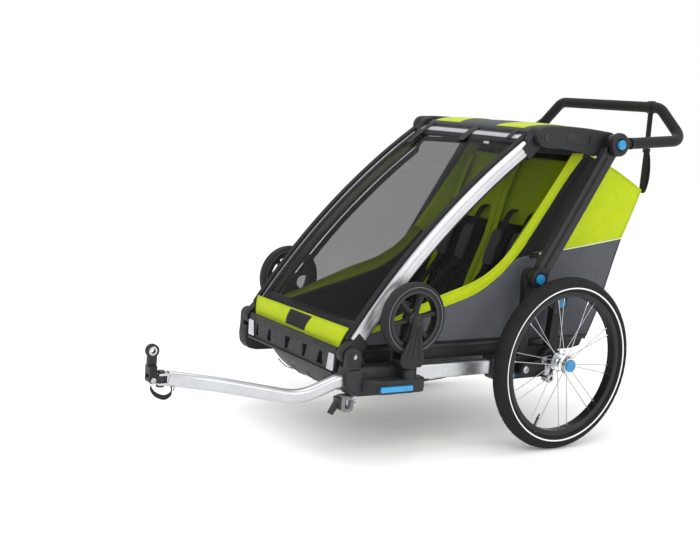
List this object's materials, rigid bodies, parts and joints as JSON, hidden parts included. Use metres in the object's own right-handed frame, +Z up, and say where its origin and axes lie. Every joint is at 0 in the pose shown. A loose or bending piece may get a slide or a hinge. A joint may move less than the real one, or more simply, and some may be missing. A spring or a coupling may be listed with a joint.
{
  "type": "child bicycle trailer",
  "caption": "Folding two-seat child trailer with spoked side wheels, stowed front casters, push handlebar, fabric cabin and a side tow arm.",
  "frame": {"origin": "on the ground, under the middle of the trailer's box with the tow arm out", "axes": "front faces -Y, +X is the trailer's left (tow arm side), +Z up"},
  "size_m": [0.799, 1.6974, 1.0125],
  "materials": {
    "fabric_green": "woven polyester, lime green",
    "fabric_grey": "woven polyester, slate grey",
    "fabric_black": "coated polyester, black",
    "cover": "mesh fabric and clear film",
    "aluminium": "anodised, satin",
    "steel": "brushed",
    "chrome": "polished",
    "nylon_black": "glass-filled nylon, black",
    "plastic_grey": "moulded, dark grey",
    "touch_blue": "moulded, sky blue",
    "tube_grey": "powder coated, light grey",
    "tube_black": "powder coated, black",
    "rim_black": "anodised black",
    "foam": "foam grip, black",
    "tyre": "rubber with a pale reflective line",
    "reflector": "prismatic reflector",
    "webbing": "nylon webbing"
  },
  "bodies": {
    "chassis": {"side_rails": "tube_grey", "front_castings": "nylon_black", "rear_castings": "nylon_black", "uprights": "nylon_black", "pivot_pins": "steel", "cross_tubes": "tube_black", "floor_tub": "fabric_black", "front_bumper": "plastic_grey", "front_strip": "fabric_green", "front_reflectors": "reflector", "side_fabric_left": "fabric_green", "side_fabric_right": "fabric_green", "cargo_bag": "fabric_grey", "seat_cushion": "fabric_black", "seat_back": "fabric_black", "tow_arm": "tube_grey"},
    "front_frame": {"front_pillar_left": "aluminium", "front_pillar_right": "aluminium", "front_roof_bar": "tube_black", "front_cover": "cover"},
    "roof_frame": {"roof_arm_left": "nylon_black", "roof_arm_right": "nylon_black", "rear_roof_bar": "tube_black", "roof_fabric": "fabric_grey"},
    "rear_frame": {"rear_post_left": "tube_black", "rear_post_right": "tube_black"},
    "handle": {"handlebar": "foam", "handle_hubs": "nylon_black"},
    "wrist_loop": {"wrist_strap": "webbing"},
    "tow_lock": {"tow_pin": "steel"},
    "hitch_yoke": {"hitch_yoke": "plastic_grey"},
    "hitch_block": {"hitch_block": "nylon_black"},
    "handle_button_left": {"handle_button_left": "touch_blue"},
    "fold_lock_button_left": {"fold_lock_button_left": "touch_blue"},
    "upright_button_left": {"upright_button_left": "touch_blue"},
    "suspension_left": {"suspension_arm_left": "nylon_black"},
    "wheel_left": {"tyre_left": "tyre", "rim_left": "rim_black", "spokes_left": "steel", "hub_left": "chrome"},
    "hub_button_left": {"hub_button_left": "touch_blue"},
    "adjuster_knob_left": {"adjuster_knob_left": "touch_blue"},
    "caster_post_left": {"caster_post_left": "steel"},
    "caster_fork_left": {"caster_fork_left": "nylon_black"},
    "caster_wheel_left": {"caster_wheel_left": "plastic_grey"},
    "caster_latch_left": {"caster_latch_left": "touch_blue"},
    "handle_button_right": {"handle_button_right": "touch_blue"},
    "fold_lock_button_right": {"fold_lock_button_right": "touch_blue"},
    "upright_button_right": {"upright_button_right": "touch_blue"},
    "suspension_right": {"suspension_arm_right": "nylon_black"},
    "wheel_right": {"tyre_right": "tyre", "rim_right": "rim_black", "spokes_right": "steel", "hub_right": "chrome"},
    "hub_button_right": {"hub_button_right": "touch_blue"},
    "adjuster_knob_right": {"adjuster_knob_right": "touch_blue"},
    "caster_post_right": {"caster_post_right": "steel"},
    "caster_fork_right": {"caster_fork_right": "nylon_black"},
    "caster_wheel_right": {"caster_wheel_right": "plastic_grey"},
    "caster_latch_right": {"caster_latch_right": "touch_blue"}
  },
  "joints": [
    {"name": "frame_fold", "type": "hinge", "parent": "chassis", "child": "front_frame", "pos_m": [0, -0.28275, 0.291], "axis": [-1, 0, 0], "range_deg": [0, 42], "deforming": ["side_fabric_left", "side_fabric_right", "cargo_bag", "seat_back"]},
    {"name": "roof_fold", "type": "hinge", "parent": "front_frame", "child": "roof_frame", "pos_m": [0, 0.30125, 0.884], "axis": [-1, 0, 0], "range_deg": [-73, 0]},
    {"name": "rear_fold", "type": "hinge", "parent": "chassis", "child": "rear_frame", "pos_m": [0, 0.30425, 0.488], "axis": [-1, 0, 0], "range_deg": [0, 61.6]},
    {"name": "handle_tilt", "type": "hinge", "parent": "roof_frame", "child": "handle", "pos_m": [0, 0.54725, 0.877], "axis": [1, 0, 0], "range_deg": [-30, 40]},
    {"name": "wrist_loop_swing", "type": "hinge", "parent": "handle", "child": "wrist_loop", "pos_m": [0.18, 0.83225, 0.996], "axis": [1, 0, 0], "range_deg": [-35, 35]},
    {"name": "tow_pin_pull", "type": "slide", "parent": "chassis", "child": "tow_lock", "axis": [0, 0, -1], "range_m": [0, 0.08]},
    {"name": "hitch_yaw", "type": "hinge", "parent": "chassis", "child": "hitch_yoke", "pos_m": [0.272, -0.80875, 0.265], "axis": [0, 0, 1], "range_deg": [-40, 40]},
    {"name": "hitch_pitch", "type": "hinge", "parent": "hitch_yoke", "child": "hitch_block", "pos_m": [0.272, -0.83275, 0.265], "axis": [1, 0, 0], "range_deg": [-2, 45]},
    {"name": "handle_button_press_left", "type": "slide", "parent": "handle", "child": "handle_button_left", "axis": [-1, 0, 0], "range_m": [0, 0.004], "stiffness_N_per_m": 900, "springref_m": -0.003},
    {"name": "fold_lock_press_left", "type": "slide", "parent": "rear_frame", "child": "fold_lock_button_left", "axis": [-1, 0, 0], "range_m": [0, 0.003], "stiffness_N_per_m": 900, "springref_m": -0.003},
    {"name": "upright_button_press_left", "type": "slide", "parent": "chassis", "child": "upright_button_left", "axis": [-1, 0, 0], "range_m": [0, 0.004], "stiffness_N_per_m": 900, "springref_m": -0.003},
    {"name": "suspension_left", "type": "hinge", "parent": "chassis", "child": "suspension_left", "pos_m": [0.311, 0.28725, 0.228], "axis": [1, 0, 0], "range_deg": [0, 8], "stiffness_Nm_per_rad": 150, "springref_deg": -5.73},
    {"name": "wheel_spin_left", "type": "hinge", "parent": "suspension_left", "child": "wheel_left", "pos_m": [0.362, 0.38725, 0.25], "axis": [1, 0, 0], "continuous": true},
    {"name": "hub_button_press_left", "type": "slide", "parent": "wheel_left", "child": "hub_button_left", "axis": [-1, 0, 0], "range_m": [0, 0.004], "stiffness_N_per_m": 900, "springref_m": -0.003},
    {"name": "suspension_adjust_left", "type": "hinge", "parent": "chassis", "child": "adjuster_knob_left", "pos_m": [0.3, 0.24525, 0.212], "axis": [1, 0, 0], "range_deg": [0, 270]},
    {"name": "caster_lift_left", "type": "slide", "parent": "chassis", "child": "caster_post_left", "axis": [0, 0, 1], "range_m": [0, 0.06]},
    {"name": "caster_swivel_left", "type": "hinge", "parent": "caster_post_left", "child": "caster_fork_left", "pos_m": [0.325, -0.12975, 0.392], "axis": [0, 0, 1], "range_deg": [-15, 15]},
    {"name": "caster_spin_left", "type": "hinge", "parent": "caster_fork_left", "child": "caster_wheel_left", "pos_m": [0.325, -0.12975, 0.392], "axis": [1, 0, 0], "continuous": true},
    {"name": "caster_latch_slide_left", "type": "slide", "parent": "chassis", "child": "caster_latch_left", "axis": [0, 1, 0], "range_m": [0, 0.006], "stiffness_N_per_m": 500, "springref_m": -0.004},
    {"name": "handle_button_press_right", "type": "slide", "parent": "handle", "child": "handle_button_right", "axis": [1, 0, 0], "range_m": [0, 0.004], "stiffness_N_per_m": 900, "springref_m": -0.003},
    {"name": "fold_lock_press_right", "type": "slide", "parent": "rear_frame", "child": "fold_lock_button_right", "axis": [1, 0, 0], "range_m": [0, 0.003], "stiffness_N_per_m": 900, "springref_m": -0.003},
    {"name": "upright_button_press_right", "type": "slide", "parent": "chassis", "child": "upright_button_right", "axis": [1, 0, 0], "range_m": [0, 0.004], "stiffness_N_per_m": 900, "springref_m": -0.003},
    {"name": "suspension_right", "type": "hinge", "parent": "chassis", "child": "suspension_right", "pos_m": [-0.311, 0.28725, 0.228], "axis": [1, 0, 0], "range_deg": [0, 8], "stiffness_Nm_per_rad": 150, "springref_deg": -5.73},
    {"name": "wheel_spin_right", "type": "hinge", "parent": "suspension_right", "child": "wheel_right", "pos_m": [-0.362, 0.38725, 0.25], "axis": [1, 0, 0], "continuous": true},
    {"name": "hub_button_press_right", "type": "slide", "parent": "wheel_right", "child": "hub_button_right", "axis": [1, 0, 0], "range_m": [0, 0.004], "stiffness_N_per_m": 900, "springref_m": -0.003},
    {"name": "suspension_adjust_right", "type": "hinge", "parent": "chassis", "child": "adjuster_knob_right", "pos_m": [-0.3, 0.24525, 0.212], "axis": [-1, 0, 0], "range_deg": [0, 270]},
    {"name": "caster_lift_right", "type": "slide", "parent": "chassis", "child": "caster_post_right", "axis": [0, 0, 1], "range_m": [0, 0.06]},
    {"name": "caster_swivel_right", "type": "hinge", "parent": "caster_post_right", "child": "caster_fork_right", "pos_m": [-0.325, -0.12975, 0.392], "axis": [0, 0, 1], "range_deg": [-15, 15]},
    {"name": "caster_spin_right", "type": "hinge", "parent": "caster_fork_right", "child": "caster_wheel_right", "pos_m": [-0.325, -0.12975, 0.392], "axis": [1, 0, 0], "continuous": true},
    {"name": "caster_latch_slide_right", "type": "slide", "parent": "chassis", "child": "caster_latch_right", "axis": [0, 1, 0], "range_m": [0, 0.006], "stiffness_N_per_m": 500, "springref_m": -0.004}
  ],
  "couplings": [
    {"joint": "roof_fold", "follows": "frame_fold", "ratio": -1.732},
    {"joint": "rear_fold", "follows": "frame_fold", "ratio": 1.464}
  ]
}
